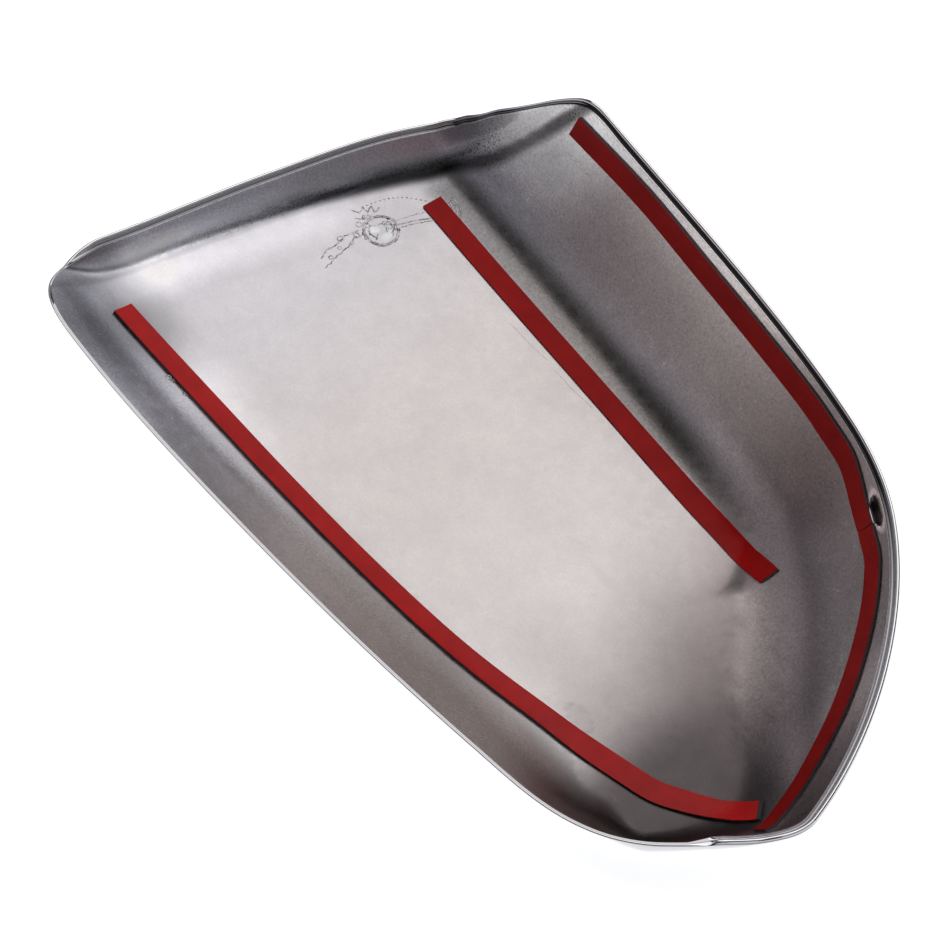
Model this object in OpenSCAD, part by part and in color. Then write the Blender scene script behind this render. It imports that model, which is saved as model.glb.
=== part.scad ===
// Chrome-plated wing mirror cover, lying on its back with its open side up.
// One moulded shell, with four strips of foam tape that still carry their red liner.
// X runs along the straight upper edge to the tip, Y up to that edge, Z out of the floor.
// The rim is a curve in space. Each of its points also says how the wall leaves it: at
// which angle it falls, and over which height it runs out into the flat floor.

/* [Outline] */
// From the middle of the floor to the inboard edge
reach_inboard = 112; // [106:1:120]
// From the middle of the floor to the tip
reach_tip = 124; // [118:1:132]
// From the middle of the floor to the lower edge
reach_low = 61.5; // [56:0.5:68]
// From the middle of the floor to the upper edge
reach_top = 80; // [76:0.5:86]

/* [Rim heights] */
// Top of the rim along the lower edge
low_h = 18; // [15:0.5:22]
// Top of the rim at the pointed end
tip_h = 26; // [23:0.5:30]
// Top of the rim along the upper edge
top_h = 48; // [43:0.5:54]
// Top of the low return wall at the inboard end
return_h = 11; // [9:0.5:14]

/* [Walls] */
// Thickness of the moulding
wall = 2.2; // [1.6:0.1:3]
// Angle of the sloped face
slope_ang = 68; // [62:1:74]
// Angle at which the lower flange leaves its rim
low_ang = 57; // [50:1:62]
// Angle of the steep wall beside the pointed corner
corner_ang = 75; // [68:1:78]
// Angle of the wall round the tip
tip_ang = 63; // [58:1:68]
// Angle of the return wall
return_ang = 68; // [62:1:74]
// Height of the soft crease between floor and sloped face
crease_round = 31; // [24:1:38]
// Height over which the lower flange runs out into the floor
low_round = 42; // [34:1:48]
// Height over which the bowl at the tip runs out
tip_round = 73; // [60:1:84]
// Height over which the steep wall beside the pointed corner runs out
corner_round = 22; // [16:1:28]
// Height over which the return wall runs out
return_round = 11; // [8:1:16]
// Fillet where the walls meet inside the pointed corner
tip_fillet = 8; // [4:0.5:12]
// Fillet where the return wall meets the sloped face
return_fillet = 5; // [3:0.5:8]

/* [Rim bead] */
// Width of the rounded bead on the rim
bead_w = 1.3; // [1:0.1:1.5]
// Height of the bead above the end of the wall
bead_h = 1.2; // [0.8:0.1:1.8]
// Depth of the groove inside the bead
groove_d = 0.5; // [0.2:0.1:0.8]

/* [Recess] */
// Length of the small recess in the tip wall
recess_l = 8; // [6:0.5:10]
// Width of the recess, seen from above
recess_w = 1.4; // [1:0.1:1.8]
// Depth of the recess
recess_d = 0.9; // [0.5:0.1:1.2]
// From the rim in to the middle of the recess
recess_in = 3.6; // [3.5:0.05:3.8]

/* [Tape] */
// Width of the tape
tape_w = 6; // [5:0.5:7]
// Thickness of the foam
foam_t = 0.9; // [0.6:0.1:1.2]
// Thickness of the release liner
liner_t = 0.12; // [0.1:0.01:0.2]
// Glue film between shell and foam
bond_gap = 0.28; // [0.25:0.01:0.35]
// Glue film between foam and liner
liner_gap = 0.04; // [0.03:0.01:0.06]
// From the lower edge in to the inboard end of the lower strip
low_tape_in = 20; // [18:0.5:22]
// From the upper edge in to the middle strip
mid_tape_in = 32; // [28:0.5:36]
// From the upper edge in to the inboard end of the upper strip
top_tape_in = 5.4; // [5:0.1:6]
// From the tip in to the lower end of the strip round the tip
tip_tape_in = 8.8; // [8:0.2:11]
// Between the ends of the lower strip and the strip round the tip
tape_apart = 7.2; // [6.8:0.2:9]

/* [Hidden] */

// Plan places are shares of the reaches: x of the inboard or the tip reach, y of the lower
// or the upper one
function spot(x, y) = [x * (x < 0 ? reach_inboard : reach_tip), y * (y < 0 ? reach_low : reach_top)];
// A rim point has its height, heading, wall angle and the height over which the wall runs out
function rim_point(x, y, height, heading, angle, soft) = concat(spot(x, y), [height, heading, angle, soft]);
RIM = [
    rim_point(-0.8071, -0.9919, 0.878 * low_h,     -1, low_ang - 2,     0.93 * low_round),
    rim_point(-0.1786, -0.9496, 1.022 * low_h,      5, low_ang,         low_round),
    rim_point(0.4839,  -0.7756, 1.072 * low_h,     10, low_ang + 1,     low_round),
    rim_point(0.7258,  -0.6602, 1.161 * low_h,     25, low_ang + 10,    0.857 * low_round),
    rim_point(0.8629,  -0.4472, 0.858 * tip_h,     52, corner_ang,      1.136 * corner_round),
    rim_point(0.9194,  -0.2927, 0.888 * tip_h,     55, corner_ang,      1.136 * corner_round),
    rim_point(0.9315,  -0.2585, 0.9 * tip_h,       55, corner_ang,      corner_round),
    rim_point(0.9758,  -0.1138, 0.862 * tip_h,     60, corner_ang,      corner_round),
    rim_point(0.9984,  0.0625,  1.019 * tip_h,    106, tip_ang + 5,     0.616 * tip_round),
    rim_point(0.8468,  0.5225,  0.729 * top_h,    128, tip_ang,         tip_round),
    rim_point(0.629,   0.8288,  0.865 * top_h,    149, tip_ang,         0.767 * tip_round),
    rim_point(0.4032,  0.9413,  0.927 * top_h,    172, slope_ang - 1,   1.194 * crease_round),
    rim_point(-0.4018, 1,       0.981 * top_h,    179, slope_ang,       crease_round),
    rim_point(-0.5384, 0.9963,  0.963 * top_h,    190, slope_ang,       crease_round),
    rim_point(-0.6795, 0.9188,  0.65 * top_h,     205, return_ang + 3,  0.73 * return_round),
    rim_point(-0.7929, 0.8163,  1.6 * return_h,   219, return_ang + 3,  0.82 * return_round),
    rim_point(-0.842,  0.715,   1.309 * return_h, 243, return_ang + 2,  return_round),
    rim_point(-0.9411, 0.1563,  1.073 * return_h, 259, return_ang,      return_round),
    rim_point(-1.0071, -0.5789, 0.973 * return_h, 264, return_ang - 1,  return_round),
    rim_point(-0.9777, -0.8602, 1.109 * return_h, 301, return_ang - 6,  1.18 * return_round)];

// Where on the rim the bead ends: the notch beside the pointed corner and the inboard corner
NOTCH = 5;
INBOARD_END = 18;

// Each wall runs on past its end, so that it can meet the next one inside the shell
LOW_ENDS = [rim_point(-1.2054, -0.9577, 1.1 * low_h, -1, low_ang - 2, 0.93 * low_round),
            rim_point(1.121, 0.3, tip_h, 60, corner_ang, corner_round)];
TOP_ENDS = [rim_point(0.9677, -0.4878, tip_h, 97, tip_ang + 5, 0.616 * tip_round),
            rim_point(-1.1161, 1.01, 1.013 * top_h, 179, slope_ang, crease_round)];
INBOARD_ENDS = [rim_point(-0.5848, 1.0525, 1.727 * return_h, 219, return_ang + 3, 0.82 * return_round),
                rim_point(-1.0348, -1.252, 1.6 * return_h, 264, return_ang - 1, return_round)];

// A span of the rim between two of its points, with the ends added
function rim_part(first, last, ends) =
    concat([ends[0]], [for (i = [first:last]) RIM[i]], [ends[1]]);
LOW_LINE = smooth_line(rim_part(0, 7, LOW_ENDS));
TOP_LINE = smooth_line(rim_part(8, 12, TOP_ENDS));
INBOARD_LINE = smooth_line(rim_part(15, 18, INBOARD_ENDS));

// The spine of the floor, which the rings of the mesh close in on
SPINE = [spot(-0.4286, 0.05), spot(0.5, 0.225)];
// Rings as shares of the wall's reach over the floor, then of what is left to the spine
WALL_RINGS = [0.07, 0.14, 0.21, 0.28, 0.35, 0.42, 0.49, 0.56, 0.63, 0.7, 0.78, 0.88, 1];
FLOOR_RINGS = [0.18, 0.42, 0.7];
// The walls reach at least this far in, where another wall is near
LEAST_REACH = 28;
// Section of the bead: share of its width, share of its height
BEAD_SECTION = [[0.06, 0.62], [0.3, 0.95], [0.7, 0.95], [0.94, 0.62], [1, 0]];
// Longest step along the rim, and the most that it may turn in one step
RIM_STEP = 14;
RIM_TURN = 8;
TAPE_STEP = 7;

function flat(v) = [v[0], v[1]];
function heading(a) = [cos(a), sin(a)];
function left_of(d) = [-d[1], d[0]];
function unit(v) = v / norm(v);
function reach(a, b) = norm(flat(b) - flat(a));
function turn(a, b) = (b[3] - a[3] + 540) % 360 - 180;

// A smooth curve in space through the points of a list, by its place s in the list
function grade(list, i, closed) =
    let (n = len(list),
         a = (closed || i > 0) ? list[(i - 1 + n) % n] : list[i],
         b = (closed || i < n - 1) ? list[(i + 1) % n] : list[i])
    (b[2] - a[2]) / (reach(a, list[i]) + reach(list[i], b));
function curve_at(list, s, closed = true) =
    let (n = len(list),
         i = floor(s) % n,
         j = (i + 1) % n,
         t = s - floor(s),
         a = list[i],
         b = list[j],
         k = reach(a, b) / 3 / pow(cos(turn(a, b) / 4), 2),
         handle_a = concat(heading(a[3]), grade(list, i, closed)) * k,
         handle_b = concat(heading(b[3]), grade(list, j, closed)) * k,
         p0 = [a[0], a[1], a[2]],
         p3 = [b[0], b[1], b[2]],
         place = pow(1 - t, 3) * p0 + 3 * pow(1 - t, 2) * t * (p0 + handle_a)
               + 3 * (1 - t) * t * t * (p3 - handle_b) + t * t * t * p3,
         ease = t * t * (3 - 2 * t))
    concat(place, a[4] + (b[4] - a[4]) * ease, a[5] + (b[5] - a[5]) * ease);
function smooth_line(list, steps = 6) =
    concat([for (i = [0:len(list) - 2], k = [0:steps - 1]) curve_at(list, i + k / steps, false)],
           [let (e = list[len(list) - 1]) [e[0], e[1], e[2], e[4], e[5]]]);

// Foot of a plan point on a line: its height, wall angle, softness, and how far off it is
function foot(p, a, b) =
    let (d = flat(b) - flat(a),
         t = max(0, min(1, ((p - flat(a)) * d) / (d * d))))
    a + (b - a) * t;
function nearest(p, line) =
    let (feet = [for (j = [0:len(line) - 2]) foot(p, line[j], line[j + 1])],
         gaps = [for (f = feet) norm(flat(f) - p)],
         least = min(gaps),
         hits = [for (j = [0:len(gaps) - 1]) if (gaps[j] == least) j])
    concat(feet[hits[0]], least);

// A straight fall that runs out at zero over a set height, and the start that gives it
// the height it needs at the rim
function share(u) = 3 / 16 + u / 2 + 3 * u * u / 8 - pow(u, 4) / 16;
function share_slope(u) = 1 / 2 + 3 * u / 4 - pow(u, 3) / 4;
function settle(fall, soft) =
    fall >= soft ? fall : fall <= -soft ? 0 : soft * share(fall / soft);
function closer(u, goal) = u - (share(u) - goal) / share_slope(u);
function lead(height, soft) =
    let (goal = height / soft)
    height >= soft ? height : soft * closer(closer(closer(2 * sqrt(goal) - 1, goal), goal), goal);
// Two walls run into each other with a fillet that dies out where both are low
MEET_LOW = 6;
function meet(w1, w2, fillet) =
    let (both = w1 * w2 / pow(MEET_LOW, 2))
    (w1 + w2 + sqrt(pow(w1 - w2, 2) + fillet * fillet * both / (1 + both))) / 2;

// The outside runs out a little more softly than the inside
OUTER_EXTRA = 1.4 * wall;
// Plan width of the wall's end face where the wall stands at this angle
function end_face(angle) = wall / sin(angle);
function wall_inside(p, line) =
    let (f = nearest(p, line), k = tan(f[3]), soft = f[4])
    settle(lead(f[2] - bead_h - wall, soft) - k * (f[5] - end_face(f[3])), soft);
function wall_outside(p, line) =
    let (f = nearest(p, line), k = tan(f[3]), soft = f[4] + OUTER_EXTRA)
    settle(lead(f[2] - bead_h, soft) - k * f[5], soft);

// Small recess pressed into the tip wall, just under the bead
RECESS_SPAN = 10;
RECESS_PLACE = 0.18;
RECESS_S = RECESS_SPAN + RECESS_PLACE;
RECESS_AT = flat(curve_at(RIM, RECESS_S)) + inward(RECESS_S) * recess_in;
function recess(p) =
    let (along = -left_of(inward(RECESS_S)),
         u = (p - RECESS_AT) * along / (recess_l / 2),
         v = (p - RECESS_AT) * inward(RECESS_S) / (recess_w / 2),
         r = u * u + v * v)
    r >= 1 ? 0 : recess_d * pow(1 - r, 2) / cos(tip_ang);

// Heights of the inner and the outer surface over a plan point
function inside(p) =
    wall
    + meet(meet(wall_inside(p, LOW_LINE), wall_inside(p, TOP_LINE), tip_fillet),
           wall_inside(p, INBOARD_LINE), return_fillet);
function outside(p) =
    meet(meet(wall_outside(p, LOW_LINE), wall_outside(p, TOP_LINE), tip_fillet),
         wall_outside(p, INBOARD_LINE), return_fillet);

// Places along the rim: even steps, closer where it turns and at the recess
function rim_steps(i) =
    let (a = RIM[i], b = RIM[(i + 1) % len(RIM)])
    ceil(reach(a, b) / RIM_STEP + abs(turn(a, b)) / RIM_TURN);
RECESS_SHARE = recess_l / 2 / reach(RIM[RECESS_SPAN], RIM[RECESS_SPAN + 1]);
RECESS_STEPS = concat([0], [for (k = [-1, -0.67, -0.33, 0, 0.33, 0.67, 1]) RECESS_PLACE + k * RECESS_SHARE],
                      [0.48, 0.61, 0.74, 0.87]);
// and where the crease widens into the bowl of the tip
BOWL_STEPS = [0, 0.05, 0.11, 0.18, 0.27, 0.39, 0.52, 0.66, 0.84];
function span_steps(i) =
    i == RECESS_SPAN ? RECESS_STEPS :
    i == RECESS_SPAN + 1 ? BOWL_STEPS : [for (k = [0:rim_steps(i) - 1]) k / rim_steps(i)];
STATIONS = [for (i = [0:len(RIM) - 1], t = span_steps(i)) i + t];
function inward(s) =
    left_of(unit(flat(curve_at(RIM, s + 0.01)) - flat(curve_at(RIM, s + len(RIM) - 0.01))));

// The cover is centred on its own box
OUTLINE = [for (s = STATIONS) flat(curve_at(RIM, s))];
MIDDLE = [(max([for (p = OUTLINE) p[0]]) + min([for (p = OUTLINE) p[0]])) / 2,
          (max([for (p = OUTLINE) p[1]]) + min([for (p = OUTLINE) p[1]])) / 2];

// How much of the bead there is at a place on the rim
function bead_share(s) =
    lookup(s, [[NOTCH, 0], [NOTCH + 1, 1], [INBOARD_END + 0.2, 1], [INBOARD_END + 0.8, 0]]);

function lay(p, z) = [p[0] - MIDDLE[0], p[1] - MIDDLE[1], z];
function spine_foot(p) =
    let (d = SPINE[1] - SPINE[0],
         t = max(0, min(1, ((p - SPINE[0]) * d) / (d * d))))
    SPINE[0] + d * t;
// How far over the floor the wall reaches that starts at a place on the rim
function wall_reach(rim) =
    max(LEAST_REACH, (lead(rim[2] - bead_h, rim[4]) + rim[4]) / tan(rim[3]));
// Plan points from a place on the rim in to the spine. The first rings are at the recess
RECESS_RING = recess_in - end_face(tip_ang);
NEAR_RINGS = [RECESS_RING - recess_w / 2, RECESS_RING, RECESS_RING + recess_w / 2];
function inward_points(p, wide) =
    let (way = spine_foot(p) - p, whole = norm(way), dir = way / whole, near = NEAR_RINGS[2])
    concat([p], [for (r = NEAR_RINGS) p + dir * r],
           [for (w = WALL_RINGS) p + dir * (near + (wide - near) * w)],
           [for (f = FLOOR_RINGS) p + dir * (wide + (whole - wide) * f)]);
// One section of the shell, from the outer floor over the rim to the inner floor
function section(s) =
    let (rim = curve_at(RIM, s),
         edge = flat(rim),
         in = inward(s),
         face = end_face(rim[3]),
         inner_edge = edge + in * face,
         z_out = outside(edge),
         z_in = inside(inner_edge),
         bead = bead_share(s),
         outer = inward_points(edge, wall_reach(rim)),
         inner = inward_points(inner_edge, wall_reach(rim)),
         grooves = [bead_w + 0.3 * (face - bead_w), bead_w + 0.8 * (face - bead_w)])
    concat([for (i = [len(outer) - 1:-1:0]) lay(outer[i], outside(outer[i]))],
           [for (q = BEAD_SECTION)
               let (d = q[0] * bead_w)
               lay(edge + in * d, z_out + (z_in - z_out) * d / face + bead_h * bead * q[1])],
           [for (d = grooves)
               lay(edge + in * d, z_out + (z_in - z_out) * d / face - groove_d * bead)],
           [for (p = inner) lay(p, inside(p) - recess(p))]);

// Triangles between neighbouring rows of points. One column can be split the other way
function quads(rows, cols, row_wrap, col_wrap, turned = -1) =
    [for (i = [0:rows - (row_wrap ? 1 : 2)], j = [0:cols - (col_wrap ? 1 : 2)])
        let (i2 = (i + 1) % rows, j2 = (j + 1) % cols,
             a = i * cols + j, b = i * cols + j2, c = i2 * cols + j2, d = i2 * cols + j)
        each j == turned ? [[a, b, d], [b, c, d]] : [[a, b, c], [a, c, d]]];

module mirror_cover_shell() {
    sections = [for (s = STATIONS) section(s)];
    rows = len(sections);
    cols = len(sections[0]);
    hub = (SPINE[0] + SPINE[1]) / 2;
    hub_out = rows * cols;
    hub_in = hub_out + 1;
    points = concat([for (row = sections, p = row) p],
                    [lay(hub, outside(hub)), lay(hub, inside(hub))]);
    floor_fans = [for (i = [0:rows - 1])
                     let (i2 = (i + 1) % rows)
                     each [[hub_out, i * cols, i2 * cols],
                           [hub_in, i2 * cols + cols - 1, i * cols + cols - 1]]];
    color([0.78, 0.78, 0.8])
        polyhedron(points, concat(quads(rows, cols, true, false), floor_fans), convexity = 6);
}

// Strips of tape, each laid through points of its own. The y of a strip is a share of how
// far out its inboard end lies
function strip(points, end_x, end_y) =
    [for (p = points) [p[0] * (p[0] < 0 ? reach_inboard : end_x), p[1] * end_y]];
TIP_X = reach_tip - tip_tape_in;
LOWER_PATH = strip([[-0.8438, 1], [-0.5357, 0.942], [-0.25, 0.887], [0.037, 0.807], [0.3148, 0.692],
                    [0.5741, 0.511], [0.7685, 0.347], [0.8333, 0.282], [0.8889, 0.181],
                    [0.9444, 0.07], [1, -0.043]], TIP_X - tape_apart, low_tape_in - reach_low);
MIDDLE_PATH = strip([[-0.7071, 0.992], [-0.4643, 0.994], [-0.0179, 1], [0.3145, 1.0125],
                     [0.504, 1.004]], reach_tip, reach_top - mid_tape_in);
UPPER_PATH = strip([[-0.5268, 0.996], [-0.2768, 1.003], [-0.0893, 0.997], [0.0968, 0.985],
                    [0.2661, 0.968], [0.371, 0.949], [0.4677, 0.92], [0.579, 0.842]],
                   reach_tip, reach_top - top_tape_in);
TIP_PATH = strip([[0.6345, 0.7763], [0.7049, 0.72], [0.7977, 0.59], [0.8958, 0.3925],
                  [0.9635, 0.1888], [0.9878, 0.08], [1, 0.0063], [1.0017, -0.0375]], TIP_X, reach_top);

// A smooth plan curve through the points of a path, by its place s along the list
function path_at(path, s) =
    let (last = len(path) - 1,
         i = min(floor(s), last - 1),
         t = s - i,
         a = path[max(0, i - 1)], b = path[i], c = path[i + 1], d = path[min(last, i + 2)],
         way_b = (c - a) * norm(c - b) / (norm(b - a) + norm(c - b)),
         way_c = (d - b) * norm(c - b) / (norm(c - b) + norm(d - c)),
         t2 = t * t, t3 = t2 * t)
    b * (2 * t3 - 3 * t2 + 1) + way_b * (t3 - 2 * t2 + t) + c * (3 * t2 - 2 * t3) + way_c * (t3 - t2);
// Places on a path, spaced so that no step is longer than TAPE_STEP
function tape_places(path) =
    concat([for (i = [0:len(path) - 2])
               let (n = ceil(norm(path[i + 1] - path[i]) / TAPE_STEP))
               for (k = [0:n - 1]) i + k / n],
           [len(path) - 1]);
function slope_along(p, d) = inside(p + d / 2) - inside(p - d / 2);
function lift_off(p, h) =
    let (n = unit([-slope_along(p, [1, 0]), -slope_along(p, [0, 1]), 1]),
         q = lay(p, inside(p)))
    q + n * h;
// Cross-section of one layer of the tape: two points below, two above
function tape_section(path, s, low, high) =
    let (last = len(path) - 1,
         p = path_at(path, s),
         dir = unit(path_at(path, min(last, s + 0.05)) - path_at(path, max(0, s - 0.05))),
         across = left_of(dir),
         half = tape_w / 2 / sqrt(1 + pow(slope_along(p, across), 2)),
         left = p + across * half,
         right = p - across * half)
    [lift_off(left, low), lift_off(right, low), lift_off(right, high), lift_off(left, high)];
module tape_layer(path, low, high) {
    rings = [for (s = tape_places(path)) tape_section(path, s, low, high)];
    points = [for (r = rings, p = r) p];
    e = len(points) - 4;
    caps = [[0, 2, 1], [0, 3, 2], [e, e + 1, e + 2], [e, e + 2, e + 3]];
    polyhedron(points, concat(quads(len(rings), 4, false, true, 2), caps), convexity = 4);
}
FOAM_TOP = bond_gap + foam_t;
LINER_BASE = FOAM_TOP + liner_gap;
module foam(path) { color([0.16, 0.16, 0.17]) tape_layer(path, bond_gap, FOAM_TOP); }
module liner(path) { color([0.62, 0.1, 0.09]) tape_layer(path, LINER_BASE, LINER_BASE + liner_t); }

mirror_cover_shell();
foam(LOWER_PATH);  // lower_tape_foam
liner(LOWER_PATH);  // lower_tape_liner
foam(MIDDLE_PATH);  // middle_tape_foam
liner(MIDDLE_PATH);  // middle_tape_liner
foam(UPPER_PATH);  // upper_tape_foam
liner(UPPER_PATH);  // upper_tape_liner
foam(TIP_PATH);  // tip_tape_foam
liner(TIP_PATH);  // tip_tape_liner
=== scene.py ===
# Wing mirror cover: a chrome-plated moulding that lies open side up on a white table, with
# four strips of foam tape inside it that still carry their red release liner.
# The shapes are worked out in millimetres, and the meshes are made in metres.
import math

import bpy
import numpy as np
from mathutils import Matrix, Vector


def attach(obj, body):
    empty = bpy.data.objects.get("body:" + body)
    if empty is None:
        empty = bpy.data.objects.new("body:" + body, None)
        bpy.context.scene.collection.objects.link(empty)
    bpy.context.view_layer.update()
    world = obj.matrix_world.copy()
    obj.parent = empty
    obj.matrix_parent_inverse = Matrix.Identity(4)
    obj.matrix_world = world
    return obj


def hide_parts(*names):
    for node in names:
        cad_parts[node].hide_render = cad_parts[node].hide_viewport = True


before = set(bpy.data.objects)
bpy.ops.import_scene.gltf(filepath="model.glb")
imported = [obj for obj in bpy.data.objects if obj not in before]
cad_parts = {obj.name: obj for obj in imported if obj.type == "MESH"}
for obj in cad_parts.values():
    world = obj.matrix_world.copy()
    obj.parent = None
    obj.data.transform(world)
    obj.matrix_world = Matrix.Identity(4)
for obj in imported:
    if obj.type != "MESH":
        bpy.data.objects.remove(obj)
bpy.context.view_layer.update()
MM = 0.001


# The photographer's stand. The camera looks down into the open side from above the lower
# edge, turned so that the pointed tip lies at the lower right of the picture.
CAMERA_LEAN = (22.0, 25.0)
CAMERA_DISTANCE = 780.0
PICTURE_PIXELS, PIXELS_PER_MM, SENSOR_WIDTH = 950, 4, 36
PICTURE_ANGLE_OF_X = -50.0
AIMED_AT = Vector((-5.6, -9.5, 15.0))
sight = Vector((math.tan(math.radians(CAMERA_LEAN[0])),
                -math.tan(math.radians(CAMERA_LEAN[1])), 1)).normalized()
along_x = (Vector((1, 0, 0)) - sight * sight.x).normalized()
along_y = sight.cross(along_x)
turn = math.radians(PICTURE_ANGLE_OF_X)
picture_right = along_x * math.cos(turn) - along_y * math.sin(turn)
picture_up = along_x * math.sin(turn) + along_y * math.cos(turn)
camera = bpy.data.objects.new("camera", bpy.data.cameras.new("camera"))
bpy.context.scene.collection.objects.link(camera)
camera.data.sensor_width = SENSOR_WIDTH
camera.data.lens = PIXELS_PER_MM * CAMERA_DISTANCE / PICTURE_PIXELS * SENSOR_WIDTH
camera.matrix_world = (Matrix.Translation((AIMED_AT + sight * CAMERA_DISTANCE) * MM)
                       @ Matrix((picture_right, picture_up, sight)).transposed().to_4x4())
bpy.context.scene.camera = camera


# The table and the studio: a white table that runs out of the picture, a large soft light
# over the inboard end of the cover, and a dim room that the plating mirrors.
world = bpy.data.worlds.new("studio_room")
world.use_nodes = True
room = world.node_tree
sight_line = room.nodes.new("ShaderNodeTexCoord")
split = room.nodes.new("ShaderNodeSeparateXYZ")
walls = room.nodes.new("ShaderNodeValToRGB")
room.links.new(sight_line.outputs["Generated"], split.inputs["Vector"])
room.links.new(split.outputs["Z"], walls.inputs["Fac"])
room.links.new(walls.outputs["Color"], room.nodes["Background"].inputs["Color"])
walls.color_ramp.elements[0].position = 0.0
walls.color_ramp.elements[0].color = (0.30, 0.30, 0.33, 1)
walls.color_ramp.elements[1].position = 1.0
walls.color_ramp.elements[1].color = (0.05, 0.046, 0.05, 1)
for height, shade in ((0.22, (0.22, 0.22, 0.25, 1)), (0.46, (0.05, 0.045, 0.045, 1))):
    walls.color_ramp.elements.new(height).color = shade
bpy.context.scene.world = world
bpy.context.scene.view_settings.view_transform = "Standard"

table_mesh = bpy.data.meshes.new("table")
TABLE_HALF = 4.0
table_mesh.from_pydata([(-TABLE_HALF, -TABLE_HALF, 0), (TABLE_HALF, -TABLE_HALF, 0),
                        (TABLE_HALF, TABLE_HALF, 0), (-TABLE_HALF, TABLE_HALF, 0)], [], [(0, 1, 2, 3)])
table = bpy.data.objects.new("table", table_mesh)
bpy.context.scene.collection.objects.link(table)
white_table = bpy.data.materials.new("white_table")
white_table.use_nodes = True
table_surface = white_table.node_tree.nodes["Principled BSDF"]
table_surface.inputs["Base Color"].default_value = (0.9, 0.9, 0.9, 1)
table_surface.inputs["Roughness"].default_value = 0.9
table_surface.inputs["Emission Color"].default_value = (1, 1, 1, 1)
table_surface.inputs["Emission Strength"].default_value = 0.8
table_mesh.materials.append(white_table)


def softbox(name, place, aim, width, height, brightness, colour=(1, 1, 1)):
    light = bpy.data.lights.new(name, "AREA")
    light.shape = "RECTANGLE"
    light.size = width
    light.size_y = height
    light.energy = brightness * math.pi * width * height
    light.color = colour
    lamp = bpy.data.objects.new(name, light)
    bpy.context.scene.collection.objects.link(lamp)
    lamp.location = place
    lamp.rotation_euler = (Vector(aim) - Vector(place)).to_track_quat("-Z", "Y").to_euler()


KEY_TURN = math.radians(22.6)
KEY_HEIGHT = 0.6
KEY_ACROSS = 0.33
for name, start, end, depth, brightness, colour in (
        ("key", -0.80, -0.085, 0.95, 1.0, (1.0, 0.965, 0.955)),
        ("key_edge", -0.08, 0.06, 0.95, 1.6, (0.97, 0.97, 1.0))):
    middle = (start + end) / 2
    softbox(name, (middle * math.cos(KEY_TURN), KEY_ACROSS + middle * math.sin(KEY_TURN), KEY_HEIGHT),
            (0, 0, 0), end - start, depth, brightness, colour)
    bpy.data.objects[name].rotation_euler = (0, 0, KEY_TURN)
softbox("fill_upper", (-0.25, 0.95, 0.48), (0, 0, 0), 1.2, 0.62, 0.5, (0.97, 0.97, 1.0))
softbox("fill_right", (0.95, 0.10, 0.46), (0, 0, 0), 1.0, 0.55, 0.42, (0.95, 0.97, 1.0))


# The cover itself: one injection moulding of plastic, copper and chrome plated all over.
# The outside and the rim are mirror bright, and the inside is satin where the bath reached less.
# Each rim point: x, y, height, heading, wall angle, height over which the wall runs out
WALL, BEAD_W, BEAD_H, GROOVE_D = 2.2, 1.3, 1.2, 0.5
OUTER_SOFTENING = 1.4 * WALL
TIP_FILLET, RETURN_FILLET, MEET_LOW = 8.0, 5.0, 6.0
RIM = np.array([
    [-90.4, -61.0, 15.8, -1, 55, 39],
    [-20.0, -58.4, 18.4, 5, 57, 42],
    [60.0, -47.7, 19.3, 10, 58, 42],
    [90.0, -40.6, 20.9, 25, 67, 36],
    [107.0, -27.5, 22.3, 52, 75, 25],
    [114.0, -18.0, 23.1, 55, 75, 25],
    [115.5, -15.9, 23.4, 55, 75, 22],
    [121.0, -7.0, 22.4, 60, 75, 22],
    [123.8, 5.0, 26.5, 106, 68, 45],
    [105.0, 41.8, 35.0, 128, 63, 73],
    [78.0, 66.3, 41.5, 149, 63, 56],
    [50.0, 75.3, 44.5, 172, 67, 37],
    [-45.0, 80.0, 47.1, 179, 68, 31],
    [-60.3, 79.7, 46.2, 190, 68, 31],
    [-76.1, 73.5, 31.2, 205, 71, 8],
    [-88.8, 65.3, 17.6, 219, 71, 9],
    [-94.3, 57.2, 14.4, 243, 70, 11],
    [-105.4, 12.5, 11.8, 259, 68, 11],
    [-112.8, -35.6, 10.7, 264, 67, 11],
    [-109.5, -52.9, 12.2, 301, 62, 13]])
LOW_ENDS = [[-135.0, -58.9, 19.8, -1, 55, 39], [139.0, 24.0, 26.0, 60, 75, 22]]
TOP_ENDS = [[120.0, -30.0, 26.0, 97, 68, 45], [-125.0, 80.8, 48.6, 179, 68, 31]]
INBOARD_ENDS = [[-65.5, 84.2, 19.0, 219, 71, 9], [-115.9, -77.0, 17.6, 264, 67, 11]]
STEPS_BETWEEN_POINTS = 40
PLAN_POINTS_AT_ONCE = 20000


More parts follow.
